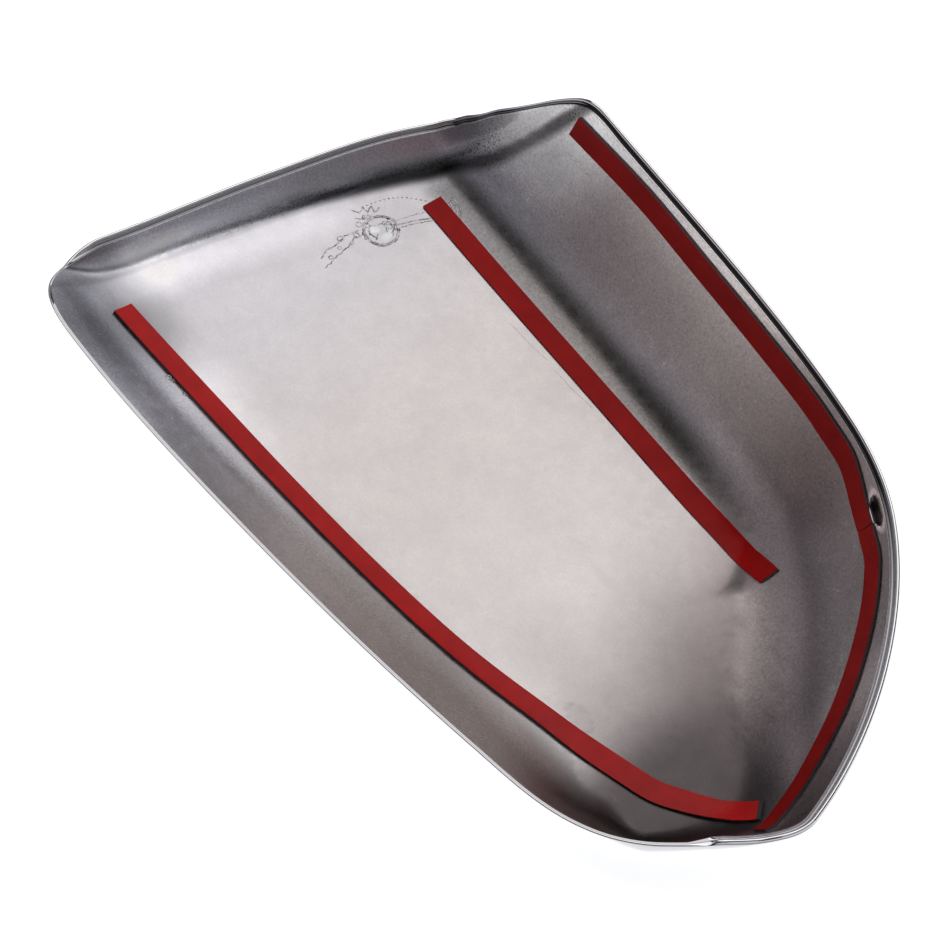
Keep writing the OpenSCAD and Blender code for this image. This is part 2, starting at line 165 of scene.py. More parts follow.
def edge_at(points, places, closed):
    # Smooth curve in space through the points, at places counted along the list
    count = len(points)
    first = np.floor(places).astype(int)
    share = places - first
    if not closed:
        late = first >= count - 1
        first[late], share[late] = count - 2, 1.0
    grades = np.zeros(count)
    for i in range(count):
        before = points[(i - 1) % count] if closed or i > 0 else points[i]
        after = points[(i + 1) % count] if closed or i < count - 1 else points[i]
        run = math.dist(before[:2], points[i][:2]) + math.dist(points[i][:2], after[:2])
        grades[i] = (after[2] - before[2]) / run
    a, b = points[first % count], points[(first + 1) % count]
    bend = np.radians((b[:, 3] - a[:, 3] + 540) % 360 - 180)
    arm = np.hypot(*(b - a)[:, :2].T) / 3 / np.cos(bend / 4) ** 2
    ways = []
    for end, place in ((a, first % count), (b, (first + 1) % count)):
        heading = np.radians(end[:, 3])
        ways.append(np.stack([np.cos(heading), np.sin(heading), grades[place]], 1) * arm[:, None])
    t = share[:, None]
    spot = ((1 - t) ** 3 * a[:, :3] + 3 * (1 - t) ** 2 * t * (a[:, :3] + ways[0])
            + 3 * (1 - t) * t * t * (b[:, :3] - ways[1]) + t ** 3 * b[:, :3])
    ease = t * t * (3 - 2 * t)
    return np.hstack([spot, a[:, 4:] + (b[:, 4:] - a[:, 4:]) * ease])


def wall_line(first, last, ends):
    points = np.vstack([ends[:1], RIM[first:last + 1], ends[1:]])
    return edge_at(points, np.arange(0, len(points) - 1 + 1e-9, 1 / STEPS_BETWEEN_POINTS), False)


LOW_LINE = wall_line(0, 7, LOW_ENDS)
TOP_LINE = wall_line(8, 12, TOP_ENDS)
INBOARD_LINE = wall_line(15, 18, INBOARD_ENDS)


def nearest_on(line, plan):
    # Distance from each plan point to a wall's rim, with the rim's height, angle and softness there
    starts, steps = line[:-1, :2], np.diff(line[:, :2], axis=0)
    lengths = (steps ** 2).sum(1)
    distance, found = np.empty(len(plan)), np.empty((len(plan), 3))
    for low in range(0, len(plan), PLAN_POINTS_AT_ONCE):
        high = low + PLAN_POINTS_AT_ONCE
        part = plan[low:high]
        off = part[:, None, :] - starts[None]
        t = np.clip((off * steps[None]).sum(2) / lengths, 0, 1)
        gap = ((off - t[:, :, None] * steps[None]) ** 2).sum(2)
        best = gap.argmin(1)
        rows = np.arange(len(part))
        share = t[rows, best][:, None]
        distance[low:high] = np.sqrt(gap[rows, best])
        found[low:high] = line[best, 2:] + share * (line[best + 1, 2:] - line[best, 2:])
    return distance, found


def run_out(fall, soft):
    u = np.clip(fall / soft, -1, 1)
    return np.where(fall >= soft, fall, soft * (3 / 16 + u / 2 + 3 * u * u / 8 - u ** 4 / 16))


def start_for(height, soft):
    goal = height / soft
    u = 2 * np.sqrt(np.clip(goal, 0, 1)) - 1
    for _ in range(3):
        over = 3 / 16 + u / 2 + 3 * u * u / 8 - u ** 4 / 16 - goal
        u = u - over / (0.5 + 0.75 * u - u ** 3 / 4 + 1e-9)
    return np.where(height >= soft, height, soft * u)


def meet(one, other, fillet):
    both = one * other / MEET_LOW ** 2
    return (one + other + np.sqrt((one - other) ** 2 + fillet ** 2 * both / (1 + both))) / 2


def wall_height(line, plan, inner):
    distance, found = nearest_on(line, plan)
    top, angle, soft = found.T
    slope = np.tan(np.radians(angle))
    if inner:
        back = distance - WALL / np.sin(np.radians(angle))
        return run_out(start_for(top - BEAD_H - WALL, soft) - slope * back, soft)
    soft = soft + OUTER_SOFTENING
    return run_out(start_for(top - BEAD_H, soft) - slope * distance, soft)


def surface_height(plan, inner):
    low, top, inboard = (wall_height(line, plan, inner) for line in (LOW_LINE, TOP_LINE, INBOARD_LINE))
    return meet(meet(low, top, TIP_FILLET), inboard, RETURN_FILLET) + (WALL if inner else 0)


# The rows of the mesh start about every millimetre along the rim, closer at the recess, and run
# in to the spine of the floor
fine = np.linspace(0, len(RIM), 8000, endpoint=False)
fine_rim = edge_at(RIM, fine, True)
fine_steps = np.diff(np.vstack([fine_rim, fine_rim[:1]])[:, :2], axis=0)
run_along = np.concatenate([[0], np.cumsum(np.hypot(*fine_steps.T))])
RECESS_S, RECESS_IN, RECESS_L, RECESS_W, RECESS_D = 10.18, 3.6, 8.2, 1.5, 1.7
EVEN_ROWS = 680
recess_run = np.interp(RECESS_S, fine, run_along[:-1])
starts = np.sort(np.concatenate([np.linspace(0, run_along[-1], EVEN_ROWS, endpoint=False),
                                 recess_run + np.arange(-5.1, 5.2, 0.41)]))
places = np.interp(starts, run_along, np.append(fine, len(RIM)))
ROWS = len(places)
rim_row = edge_at(RIM, places, True)
MIDDLE = (fine_rim[:, :2].max(0) + fine_rim[:, :2].min(0)) / 2
ahead = (edge_at(RIM, (places + 0.01) % len(RIM), True)
         - edge_at(RIM, (places - 0.01) % len(RIM), True))[:, :2]
ahead /= np.linalg.norm(ahead, axis=1)[:, None]
inward = np.stack([-ahead[:, 1], ahead[:, 0]], 1)
SPINE_ENDS = np.array([[-48.0, 4.0], [62.0, 18.0]])
SPINE_GAP, SPREAD_FROM = 1.5, 20


def to_spine(plan):
    along = SPINE_ENDS[1] - SPINE_ENDS[0]
    share = np.clip((plan - SPINE_ENDS[0]) @ along / (along @ along), 0, 1)
    return SPINE_ENDS[0] + share[:, None] * along - plan


def rings_in(plan, steps):
    # Close together near the rim, and spread out evenly over what is left up to the spine
    way = to_spine(plan)
    whole = np.linalg.norm(way, axis=1)[:, None]
    stretch = np.maximum(0, whole - SPINE_GAP - steps[-1])
    squeeze = np.minimum(1, (whole - SPINE_GAP) / steps[-1])
    rings = []
    for step in steps:
        spread = stretch * max(0, (step - SPREAD_FROM) / (steps[-1] - SPREAD_FROM)) ** 2
        rings.append(plan + way / whole * (step * squeeze + spread))
    return rings


recess_row = int(np.argmin(abs(places - RECESS_S)))
RECESS_AT = rim_row[recess_row, :2] + inward[recess_row] * RECESS_IN
RECESS_ALONG = ahead[recess_row]


def recess_share(plan):
    off = plan - RECESS_AT
    u = off @ RECESS_ALONG / (RECESS_L / 2)
    v = off @ inward[recess_row] / (RECESS_W / 2)
    return u * u + v * v


FLOOR_STEPS = np.concatenate([np.arange(0.2, 2.2, 0.2), np.arange(2.6, 12, 0.75), np.arange(12, 36, 1.0),
                              np.arange(36, 58, 1.8)])
full_face = (WALL / np.sin(np.radians(rim_row[:, 3])))[:, None]
# The lower edge has no bead and is drawn out thin
thin = np.interp(places, [0, 4.5, 5, 18.3, 18.8, 20], [1, 1, 0, 0, 1, 1])[:, None]
THIN_EDGE = 1.0
end_face = full_face + (THIN_EDGE - full_face) * thin
bead = np.interp(places, [5, 5.18, 18.2, 18.6], [0, 1, 1, 0])
edge = rim_row[:, :2]
inner_edge = edge + inward * end_face
high_out = surface_height(edge, False)
high_in = surface_height(edge + inward * full_face, True)


def bump_at(value, middle, spread):
    return np.exp(-((value - middle) / spread) ** 2)


# The rim line rises and dips a little along the return wall, and this fades out down the wall
DRAWN_REACH, SETTLE_REACH = 7, 9
drawn = (1.9 * bump_at(places, 14.58, 0.3) + 0.65 * bump_at(places, 13.9, 0.5)
         - 0.65 * bump_at(places, 15.33, 0.22)
         + 1.1 * bump_at(places, 16.9, 0.6) + 0.3 * bump_at(places, 13.1, 0.25))
high_out = high_out + drawn
high_in = high_in + drawn
columns = []
for ring in reversed(rings_in(edge, FLOOR_STEPS)):
    near_rim = (1 - np.clip(np.linalg.norm(ring - edge, axis=1) / DRAWN_REACH, 0, 1)) ** 2
    columns.append(np.column_stack([ring, surface_height(ring, False) + drawn * near_rim]))
columns.append(np.column_stack([edge, high_out]))
OUTSIDE_COLUMNS = len(columns)
# The bead, in steps over its crown, and beside it the groove, as shares of width and depth.
# Where the lower edge has no bead, the same steps round off its thin edge.
THIN_CROWN, BEAD_FULLNESS = 0.3, 0.95
face_scale = (end_face / full_face)[:, 0]
for angle in np.radians(np.arange(165, -1, -15)):
    across = (1 + math.cos(angle)) / 2 * BEAD_W
    lift = (bead * BEAD_FULLNESS * BEAD_H + thin[:, 0] * THIN_CROWN) * (math.sin(angle) ** 0.8)
    columns.append(np.column_stack([edge + inward * across * face_scale[:, None],
                                    high_out + (high_in - high_out) * across / full_face[:, 0] + lift]))
for share, depth in ((0.12, 0.5), (0.3, 1.0), (0.75, 1.0), (0.92, 0.5)):
    across = BEAD_W + share * (full_face - BEAD_W)
    columns.append(np.column_stack([edge + inward * across * face_scale[:, None],
                                    high_out + (high_in - high_out) * (across / full_face)[:, 0]
                                    - GROOVE_D * depth * bead]))
RIM_COLUMNS = len(columns)
columns.append(np.column_stack([inner_edge, high_in]))
excess = surface_height(inner_edge, True) - high_in
for ring in rings_in(inner_edge, FLOOR_STEPS):
    away = np.linalg.norm(ring - inner_edge, axis=1)
    height = surface_height(ring, True) - excess * (1 - np.clip(away / SETTLE_REACH, 0, 1)) ** 2
    height -= RECESS_D * np.clip(1 - recess_share(ring) ** 2, 0, 1)
    columns.append(np.column_stack([ring, height]))
grid = np.stack(columns, 1)
grid[:, :, :2] -= MIDDLE
width = len(columns)
faces = []
for i in range(ROWS):
    j = (i + 1) % ROWS
    for k in range(width - 1):
        faces.append((i * width + k, j * width + k, j * width + k + 1, i * width + k + 1))
faces.append(tuple(i * width for i in reversed(range(ROWS))))
faces.append(tuple(i * width + width - 1 for i in range(ROWS)))
shell_mesh = bpy.data.meshes.new("cover_shell")
shell_mesh.from_pydata((grid.reshape(-1, 3) * MM).tolist(), [], faces)
shell_mesh.validate()
for polygon in shell_mesh.polygons:
    polygon.use_smooth = True
cover_shell = bpy.data.objects.new("cover_shell", shell_mesh)
bpy.context.scene.collection.objects.link(cover_shell)

# The colour over the inside: a bright grey tone on the open floor, a little cooler towards the inboard
# corner, and painted shade, a little brown, in the deep tip. More painted shade and painted highlights are
# laid over it below.
def step_up(value, start, end):
    t = np.clip((value - start) / (end - start), 0, 1)
    return t * t * (3 - 2 * t)


plan = grid[:, :, :2].reshape(-1, 2) + MIDDLE
high = grid[:, :, 2].ravel()
x, y = plan.T
from_inboard = nearest_on(INBOARD_LINE, plan)[0]


def band(value, start, full, still, end):
    return step_up(value, start, full) * (1 - step_up(value, still, end))


toward_tip = step_up(0.906 * x + 0.42 * y, 34, 74)
toward_corner = step_up(-0.8 * x - 0.1 * y, 10, 85)
FLOOR_TONE = np.array([0.655, 0.62, 0.61])
CORNER_TONE = np.array([0.64, 0.64, 0.68])
# Painted shade, with a warm tint, that darkens the deep tip
TIP_SHADE_TONE = np.array([0.245, 0.215, 0.215])
tone = FLOOR_TONE + (CORNER_TONE - FLOOR_TONE) * toward_corner[:, None]
tone = tone + (TIP_SHADE_TONE - tone) * toward_tip[:, None]
# Painted shade along the crease at the foot of the sloped face, and along the foot of the return wall,
# where it is kept off by the lower inboard corner
crease = band(y, 46, 52.5, 55.5, 61) * (1 - toward_tip) * step_up(x, -92, -80)
by_corner = step_up(-x - 0.2 * y, 97, 103) * step_up(-y, 0, 30)
foot = band(from_inboard - 2.2 * step_up(y, 12, 44), 4.4, 6.2, 7.2, 9.8) * (1 - by_corner)
foot_depth = 0.2 + 0.66 * step_up(y, -4, 28) - 0.12 * step_up(-y, 0, 40)
# Painted highlights on the return wall and on the floor by the lower inboard corner
wall_glow = band(from_inboard, 3.0, 4.0, 4.8, 6.6) * (1 - step_up(y, 4, 24))
corner_glow = bump_at(x, -103, 9) * bump_at(y, -36, 13)
wall_glow += 1.6 * band(from_inboard, 3.0, 4.0, 6.5, 8.5) * (1 - step_up(y, -26, 4))
pale_spot = bump_at(x, -86, 6) * bump_at(y, 59.5, 3.5)
# Painted shade on the floor beside the lower strip
painted_shade_by_lower_strip = bump_at(x, 47, 17) * bump_at(y, -10, 9)
stained = bump_at(x, -80, 9) * bump_at(y, 38, 9)
# A painted highlight in the valley where the return wall meets the sloped face, and painted shade on the
# wall beside it
over_valley = -0.611 * (x + 84) + 0.793 * (y - 58.5) - 0.8
along_valley = 0.793 * (x + 84) + 0.611 * (y - 58.5)
valley = bump_at(over_valley, 0, 2.4) * band(along_valley, -2, 4, 17, 25)
valley_wall = band(over_valley, 1.9, 3.4, 6.4, 8.4) * band(along_valley, -10, -3, 12, 18)
# Painted shade low in the tip, by the end of the lower strip
low_tip = (1 - step_up(y, 2, 34)) * step_up(x, 68, 86) * (1 - step_up(high, 6, 14))
# Painted shade and painted highlights along the lower flange, given from end to end
flange = step_up(-y, 24, 38) * (1 - step_up(high, 17, 19))
flange_shade = np.interp(x, [-105, -96, -84, -63, -33, 0, 40, 75, 100],
                         [0.42, 0.45, 0.6, 1.35, 1.1, 0.92, 0.8, 0.75, 0.5])
# A painted highlight on the sloped face by the upper inboard corner, painted shade low on the return wall,
# and a painted highlight on the sides of the bowl
slope_corner = step_up(-x, 38, 62) * step_up(y, 62, 70)
return_dark = step_up(y, 20, 44) * band(from_inboard, 4.5, 6.5, 8.5, 10) * (1 - step_up(x, -84, -76))
bowl_side = toward_tip * band(high, 4.0, 6.5, 12, 18) * step_up(y, 8, 20)
glue_oval = ((x - 64) / 4.6) ** 2 + ((y + 14.6) / 2.4) ** 2
# A painted highlight along the top of the sloped face, under the rim
wall_light = step_up(y, 74.6, 76.4) * (1 - step_up(x, 40, 60))
# The painted shade and painted highlights are multiplied together here, with two more painted highlights:
# on the upper side of the tip, and high on the wall at the very tip
shade_here = ((1 - 0.58 * crease) * (1 - foot_depth * foot) * (1 - 0.62 * low_tip)
              * (1 + (flange_shade - 1) * flange) * (1 + 0.8 * slope_corner) * (1 + 0.5 * wall_light)
              * (1 + 0.4 * toward_tip * step_up(y, 18, 42))
              * (1 + 0.9 * step_up(high, 8, 20) * step_up(x, 95, 108)))
shade_here *= (1 - 0.8 * return_dark) * (1 + 0.85 * bowl_side)
shade_here *= (1 + 0.2 * wall_glow) * (1 + 0.6 * corner_glow) * (1 + 0.7 * pale_spot)
shade_here *= (1 - 0.14 * painted_shade_by_lower_strip) * (1 - 0.1 * stained)
shade_here *= (1 + 1.1 * valley) * (1 - 0.5 * valley_wall)
shade_here *= 1 - 0.07 * (glue_oval < 1) - 0.12 * band(glue_oval, 0.7, 0.95, 1.05, 1.3)
# A painted highlight on the floor just out from the return wall
shine = band(from_inboard, 8.6, 10, 13, 22) * (1 - step_up(y, 10, 40))
shade_here *= 1 + 0.3 * shine
# Painted shade inside the recess, and a painted highlight round its edge
inside_recess = recess_share(plan)
shade_here *= np.where(inside_recess < 1, 0.16 + 0.5 * inside_recess ** 3, 1)
shade_here *= 1 + 1.2 * band(inside_recess, 1, 1.05, 1.6, 2.4)
# The colour attribute holds the tone with all its painted shade and painted highlights, and the rim's
# painted reflections; its fourth value holds the grain
tone_grain_and_painted_light = np.ones((len(plan), 4))
tone_grain_and_painted_light[:, :3] = np.clip(tone * shade_here[:, None], 0, 0.95)
# The rim carries painted reflections: a painted highlight on the crown of the bead, and painted shade in
# the groove and as a dark line at the very edge
by_column = tone_grain_and_painted_light.reshape(ROWS, width, 4)
CROWN_FROM, CROWN_END, BEAD_END = OUTSIDE_COLUMNS + 2, OUTSIDE_COLUMNS + 8, OUTSIDE_COLUMNS + 12
by_column[:, :OUTSIDE_COLUMNS, :3] = (0.46, 0.48, 0.52)
by_column[:, OUTSIDE_COLUMNS - 1:CROWN_FROM, :3] = (0.22, 0.22, 0.24)
by_column[:, CROWN_FROM:CROWN_END, :3] = (0.86, 0.86, 0.87)
by_column[:, CROWN_END:BEAD_END, :3] = (0.55, 0.55, 0.58)
# The groove's painted shade is darkest along the upper edge, lighter down the inboard end and faintest at
# the tip
groove_dark = bead * np.interp(places, [5, 9.4, 10.4, 14.5, 15.5, 18], [0.2, 0.35, 1, 1, 0.72, 0.6])
GROOVE_LIGHT, GROOVE_DARK = np.array([0.62, 0.62, 0.64]), np.array([0.03, 0.028, 0.03])
groove_tone = GROOVE_LIGHT + (GROOVE_DARK - GROOVE_LIGHT) * groove_dark[:, None]
by_column[:, BEAD_END:RIM_COLUMNS, :3] = groove_tone[:, None, :]
tone_grain_and_painted_light = by_column.reshape(-1, 4)
# The fourth value says how grainy the chrome is: smooth on the floor, grainy on the walls
tone_grain_and_painted_light[:, 3] = 0.22 + 0.78 * np.clip(step_up(high, 3.5, 8) + crease, 0, 1)
layer = shell_mesh.color_attributes.new("tone_grain_and_painted_light", "FLOAT_COLOR", "POINT")
layer.data.foreach_set("color", tone_grain_and_painted_light.ravel())
sheen = (0.30 + 0.08 * (1 - step_up(from_inboard, 8, 13)) - 0.06 * step_up(-y, 40, 48)
         + 0.14 * toward_tip * band(high, 2.6, 7, 15, 22) + 0.12 * valley)
black_specks = np.clip(0.6 * band(from_inboard, 4.6, 6.4, 7.4, 9.0) * step_up(y, -40, 8)
                       * (1 - step_up(x, -84, -74))
                       + 0.5 * np.exp(-((x + 80) / 7) ** 2 - ((y - 66) / 4) ** 2)
                       + np.exp(-((x + 61) / 3.5) ** 2 - ((y - 76) / 1.3) ** 2)
                       + 0.25 * np.exp(-((x + 72) / 9) ** 2 - ((y - 62) / 6) ** 2), 0, 1)
specks = shell_mesh.attributes.new("specks", "FLOAT", "POINT")
specks.data.foreach_set("value", black_specks)
polish = shell_mesh.attributes.new("polish", "FLOAT", "POINT")
polish.data.foreach_set("value", sheen)

satin_chrome = bpy.data.materials.new("satin_chrome")
satin_chrome.use_nodes = True
nodes, links = satin_chrome.node_tree.nodes, satin_chrome.node_tree.links
satin = nodes["Principled BSDF"]
satin.inputs["Metallic"].default_value = 1.0
place = nodes.new("ShaderNodeTexCoord")
tone_grain_light_node = nodes.new("ShaderNodeAttribute")
tone_grain_light_node.attribute_name = "tone_grain_and_painted_light"
polished = nodes.new("ShaderNodeAttribute")
polished.attribute_name = "polish"


def clouds(scale, detail, low, high, rough=0.6):
    # Noise over the moulding, spread out between two shades of grey
    noise = nodes.new("ShaderNodeTexNoise")
    noise.inputs["Scale"].default_value = scale
    noise.inputs["Detail"].default_value = detail
    noise.inputs["Roughness"].default_value = rough
    links.new(place.outputs["Object"], noise.inputs["Vector"])
    spread = nodes.new("ShaderNodeMapRange")
    spread.inputs["From Min"].default_value = 0.3
    spread.inputs["From Max"].default_value = 0.7
    spread.inputs["To Min"].default_value = low
    spread.inputs["To Max"].default_value = high
    links.new(noise.outputs["Fac"], spread.inputs["Value"])
    return spread.outputs["Result"]


def times(one, other):
    product = nodes.new("ShaderNodeMath")
    product.operation = "MULTIPLY"
    links.new(one, product.inputs[0])
    links.new(other, product.inputs[1])
    return product.outputs["Value"]


speckled = nodes.new("ShaderNodeAttribute")
speckled.attribute_name = "specks"


def fade_out(value, amount):
    # Pull a factor back to one where the amount is nought
    mix = nodes.new("ShaderNodeMix")
    mix.data_type = "FLOAT"
    links.new(amount, mix.inputs[0])
    mix.inputs[2].default_value = 1.0
    links.new(value, mix.inputs[3])
    return mix.outputs[0]


def spots(scale, edge_low, edge_high, darkest):
    # Small dark pits where fine noise runs high
    noise = nodes.new("ShaderNodeTexNoise")
    noise.inputs["Scale"].default_value = scale
    noise.inputs["Detail"].default_value = 2
    links.new(place.outputs["Object"], noise.inputs["Vector"])
    cut = nodes.new("ShaderNodeMapRange")
    cut.inputs["From Min"].default_value = edge_low
    cut.inputs["From Max"].default_value = edge_high
    cut.inputs["To Min"].default_value = 1.0
    cut.inputs["To Max"].default_value = darkest
    links.new(noise.outputs["Fac"], cut.inputs["Value"])
    return cut.outputs["Result"]


grain = times(fade_out(clouds(1500, 2, 0.80, 1.16), tone_grain_light_node.outputs["Alpha"]), clouds(55, 4, 0.95, 1.04))
grain = times(grain, fade_out(spots(2100, 0.53, 0.60, 0.2), speckled.outputs["Fac"]))
shade = nodes.new("ShaderNodeVectorMath")
shade.operation = "SCALE"
links.new(tone_grain_light_node.outputs["Color"], shade.inputs[0])
links.new(grain, shade.inputs["Scale"])
links.new(shade.outputs["Vector"], satin.inputs["Base Color"])
links.new(times(polished.outputs["Fac"], clouds(300, 3, 0.85, 1.2)), satin.inputs["Roughness"])
bump = nodes.new("ShaderNodeBump")
links.new(times(tone_grain_light_node.outputs["Alpha"], clouds(40, 1, 0.09, 0.11)), bump.inputs["Strength"])
bump.inputs["Distance"].default_value = 0.0001
links.new(clouds(1100, 3, 0, 1), bump.inputs["Height"])
links.new(bump.outputs["Normal"], satin.inputs["Normal"])
mirror_chrome = bpy.data.materials.new("mirror_chrome")
mirror_chrome.use_nodes = True
mirror = mirror_chrome.node_tree.nodes["Principled BSDF"]
mirror.inputs["Metallic"].default_value = 1.0
mirror_tone_light_node = mirror_chrome.node_tree.nodes.new("ShaderNodeAttribute")
mirror_tone_light_node.attribute_name = "tone_grain_and_painted_light"
mirror_chrome.node_tree.links.new(mirror_tone_light_node.outputs["Color"], mirror.inputs["Base Color"])
mirror.inputs["Roughness"].default_value = 0.06
shell_mesh.materials.append(satin_chrome)
shell_mesh.materials.append(mirror_chrome)
for number, polygon in enumerate(shell_mesh.polygons):
    column = number % (width - 1)
    polygon.material_index = 1 if number < ROWS * (width - 1) and column < RIM_COLUMNS - 1 else 0
shell_mesh.polygons[ROWS * (width - 1)].material_index = 1
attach(cover_shell, "root")
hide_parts("mirror_cover_shell")


# The mark that the moulding's gate left on the floor: a crinkled ring with two smooth patches,
# and the thin raised trails that run away from it. They are plated over like the rest.
SCAR_WIDEN = 1.75
SCAR_SECTION = np.radians([200, 150, 100, 50, -20])
SCAR_SIDES = len(SCAR_SECTION)
scar_points, scar_faces = [], []
wobble = np.random.default_rng(7)


def scar(path, radius=0.13, waver=0.08, step=0.35):
    radius = radius * SCAR_WIDEN
    path = np.array(path, float)
    lengths = np.concatenate([[0], np.cumsum(np.hypot(*np.diff(path, axis=0).T))])
    count = max(4, int(lengths[-1] / step))
    stops = np.linspace(0, lengths[-1], count)
    line = np.stack([np.interp(stops, lengths, path[:, k]) for k in (0, 1)], 1)
    line += wobble.normal(0, waver, line.shape)
    along = np.gradient(line, axis=0)
    along /= np.linalg.norm(along, axis=1)[:, None]
    side = np.stack([-along[:, 1], along[:, 0]], 1)
    base = surface_height(line, True)
    size = radius * (0.7 + 0.6 * wobble.random(count))
    size[[0, -1]] *= 0.25
    first = len(scar_points)
    for angle in SCAR_SECTION:
        ring = np.column_stack([line + side * (size * math.cos(angle))[:, None] - MIDDLE,
                                base + size * math.sin(angle) * 0.5])
        scar_points.extend(ring.tolist())
    for k in range(SCAR_SIDES):
        for i in range(count - 1):
            a, b = first + k * count + i, first + (k + 1) % SCAR_SIDES * count + i
            scar_faces.append((a, b, b + 1, a + 1))
    scar_faces.append(tuple(first + k * count for k in reversed(range(SCAR_SIDES))))
    scar_faces.append(tuple(first + k * count + count - 1 for k in range(SCAR_SIDES)))


GATE_AT = np.array([-79.2, 31.1])
for radius, waver, thickness in ((4.7, 0.14, 0.16), (4.45, 0.2, 0.12), (4.9, 0.22, 0.1)):
    turns = np.radians(np.arange(0, 361, 6))
    scar(GATE_AT + radius * np.stack([np.cos(turns), np.sin(turns)], 1), thickness, waver)
for start, stop in ((60, 95), (75, 120), (30, 70), (200, 250), (225, 260)):
    turns = np.radians(np.linspace(start, stop, 8))
    scar(GATE_AT + 3.4 * np.stack([np.cos(turns), np.sin(turns)], 1), 0.13, 0.25)
for dx, dy, turn_by in ((-0.6, 1.8, 0.3), (0.4, 2.4, 1.2), (-1.5, 2.6, 2.0), (0.9, 1.2, 2.7),
                        (-0.3, 3.1, 0.9), (-1.9, 1.4, 1.7), (0.1, -2.9, 0.2), (1.1, -2.2, 2.2)):
    spoke = np.array([math.cos(turn_by), math.sin(turn_by)]) * 1.2
    centre = GATE_AT + np.array([dx, dy])
    scar([centre - spoke, centre + spoke * 0.3, centre + spoke], 0.12, 0.12)
# Trails: the dotted one over the top, the double line to the middle strip, and arcs beyond it
for k in range(17):
    t = k / 16
    bulge = np.array([-1, 0.55]) * 2.2 * math.sin(math.pi * t)
    dot = np.array([-88.2 + 9.5 * t, 31.2 + 17.2 * t]) + bulge
    scar([dot, dot + [0.28, 0.52]], 0.12, 0.03, 0.2)
scar([[-78.4, 36.0], [-77.2, 40], [-75.6, 44], [-74.7, 46.6]], 0.12, 0.06)
scar([[-77.2, 36.2], [-76.2, 40.2], [-74.8, 43.6], [-73.9, 46.2]], 0.09, 0.06)
scar([[-79.7, 36.1], [-79.0, 40], [-77.7, 44.8]], 0.08, 0.05)
for reach in (1.6, 2.5, 3.4, 4.4):
    turns = np.radians(np.linspace(20, 105, 10))
    arc = np.stack([np.cos(turns) * 1.25, np.sin(turns) * 0.8], 1)
    scar(np.array([-76.0, 50.0]) + reach * arc, 0.11, 0.07)
scar([[-80.6, 26.2], [-80.9, 23.5], [-79.6, 20.5], [-79.2, 17.2], [-78.0, 13.6], [-77.4, 11.6]], 0.1, 0.16)
scar([[-82.3, 25.9], [-83.2, 22.0], [-82.0, 18.6], [-81.8, 15.2], [-80.7, 12.3]], 0.1, 0.16)
for x0, y0, size in ((-81.6, 24.6, 0.7), (-80.2, 22.1, 0.5), (-82.9, 20.3, 0.8), (-80.6, 18.4, 0.5),
                     (-79.4, 14.6, 0.6), (-84.0, 27.2, 0.8), (-85.1, 29.8, 0.6),
                     (-70.4, -43.6, 0.75), (-69.0, -43.3, 0.55), (-64.0, -42.9, 0.6)):
    turns = np.radians(np.arange(0, 361, 40))
    scar(np.array([x0, y0]) + size * np.stack([np.cos(turns), np.sin(turns)], 1), 0.1, 0.06, 0.3)
scar([[-88.8, 28.2], [-86.9, 29.6], [-88.1, 31.3], [-86.0, 31.6], [-87.2, 33.6], [-84.9, 33.2],
      [-85.6, 35.2]], 0.11, 0.08)
scar([[-86.4, 27.4], [-84.6, 29.2], [-85.4, 31.0], [-83.7, 31.6]], 0.1, 0.08)
# A faint scratch beside the middle strip, in two lengths
for start, stop in (([-37, 42.2], [-22, 43.4]), ([-20, 43.0], [-4, 44.2])):
    bow = [(start[0] + stop[0]) / 2 + 0.5, (start[1] + stop[1]) / 2 - 0.3]
    scar([start, bow, stop], 0.03, 0.05, 0.8)
scar_mesh = bpy.data.meshes.new("gate_scars")
scar_mesh.from_pydata((np.array(scar_points) * MM).tolist(), [], scar_faces)
for polygon in scar_mesh.polygons:
    polygon.use_smooth = True
gate_scars = bpy.data.objects.new("gate_scars", scar_mesh)
bpy.context.scene.collection.objects.link(gate_scars)
scar_chrome = bpy.data.materials.new("scar_chrome")
scar_chrome.use_nodes = True
nodes, links = scar_chrome.node_tree.nodes, scar_chrome.node_tree.links
scar_surface = nodes["Principled BSDF"]
scar_surface.inputs["Metallic"].default_value = 1.0
scar_surface.inputs["Roughness"].default_value = 0.2
place = nodes.new("ShaderNodeTexCoord")
tarnish = nodes.new("ShaderNodeValToRGB")
tarnish.color_ramp.elements[0].position = 0.25
tarnish.color_ramp.elements[0].color = (0.26, 0.25, 0.25, 1)
tarnish.color_ramp.elements[1].position = 0.7
tarnish.color_ramp.elements[1].color = (0.72, 0.70, 0.70, 1)
links.new(clouds(500, 3, 0, 1), tarnish.inputs["Fac"])
links.new(tarnish.outputs["Color"], scar_surface.inputs["Base Color"])
scar_mesh.materials.append(scar_chrome)
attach(gate_scars, "root")

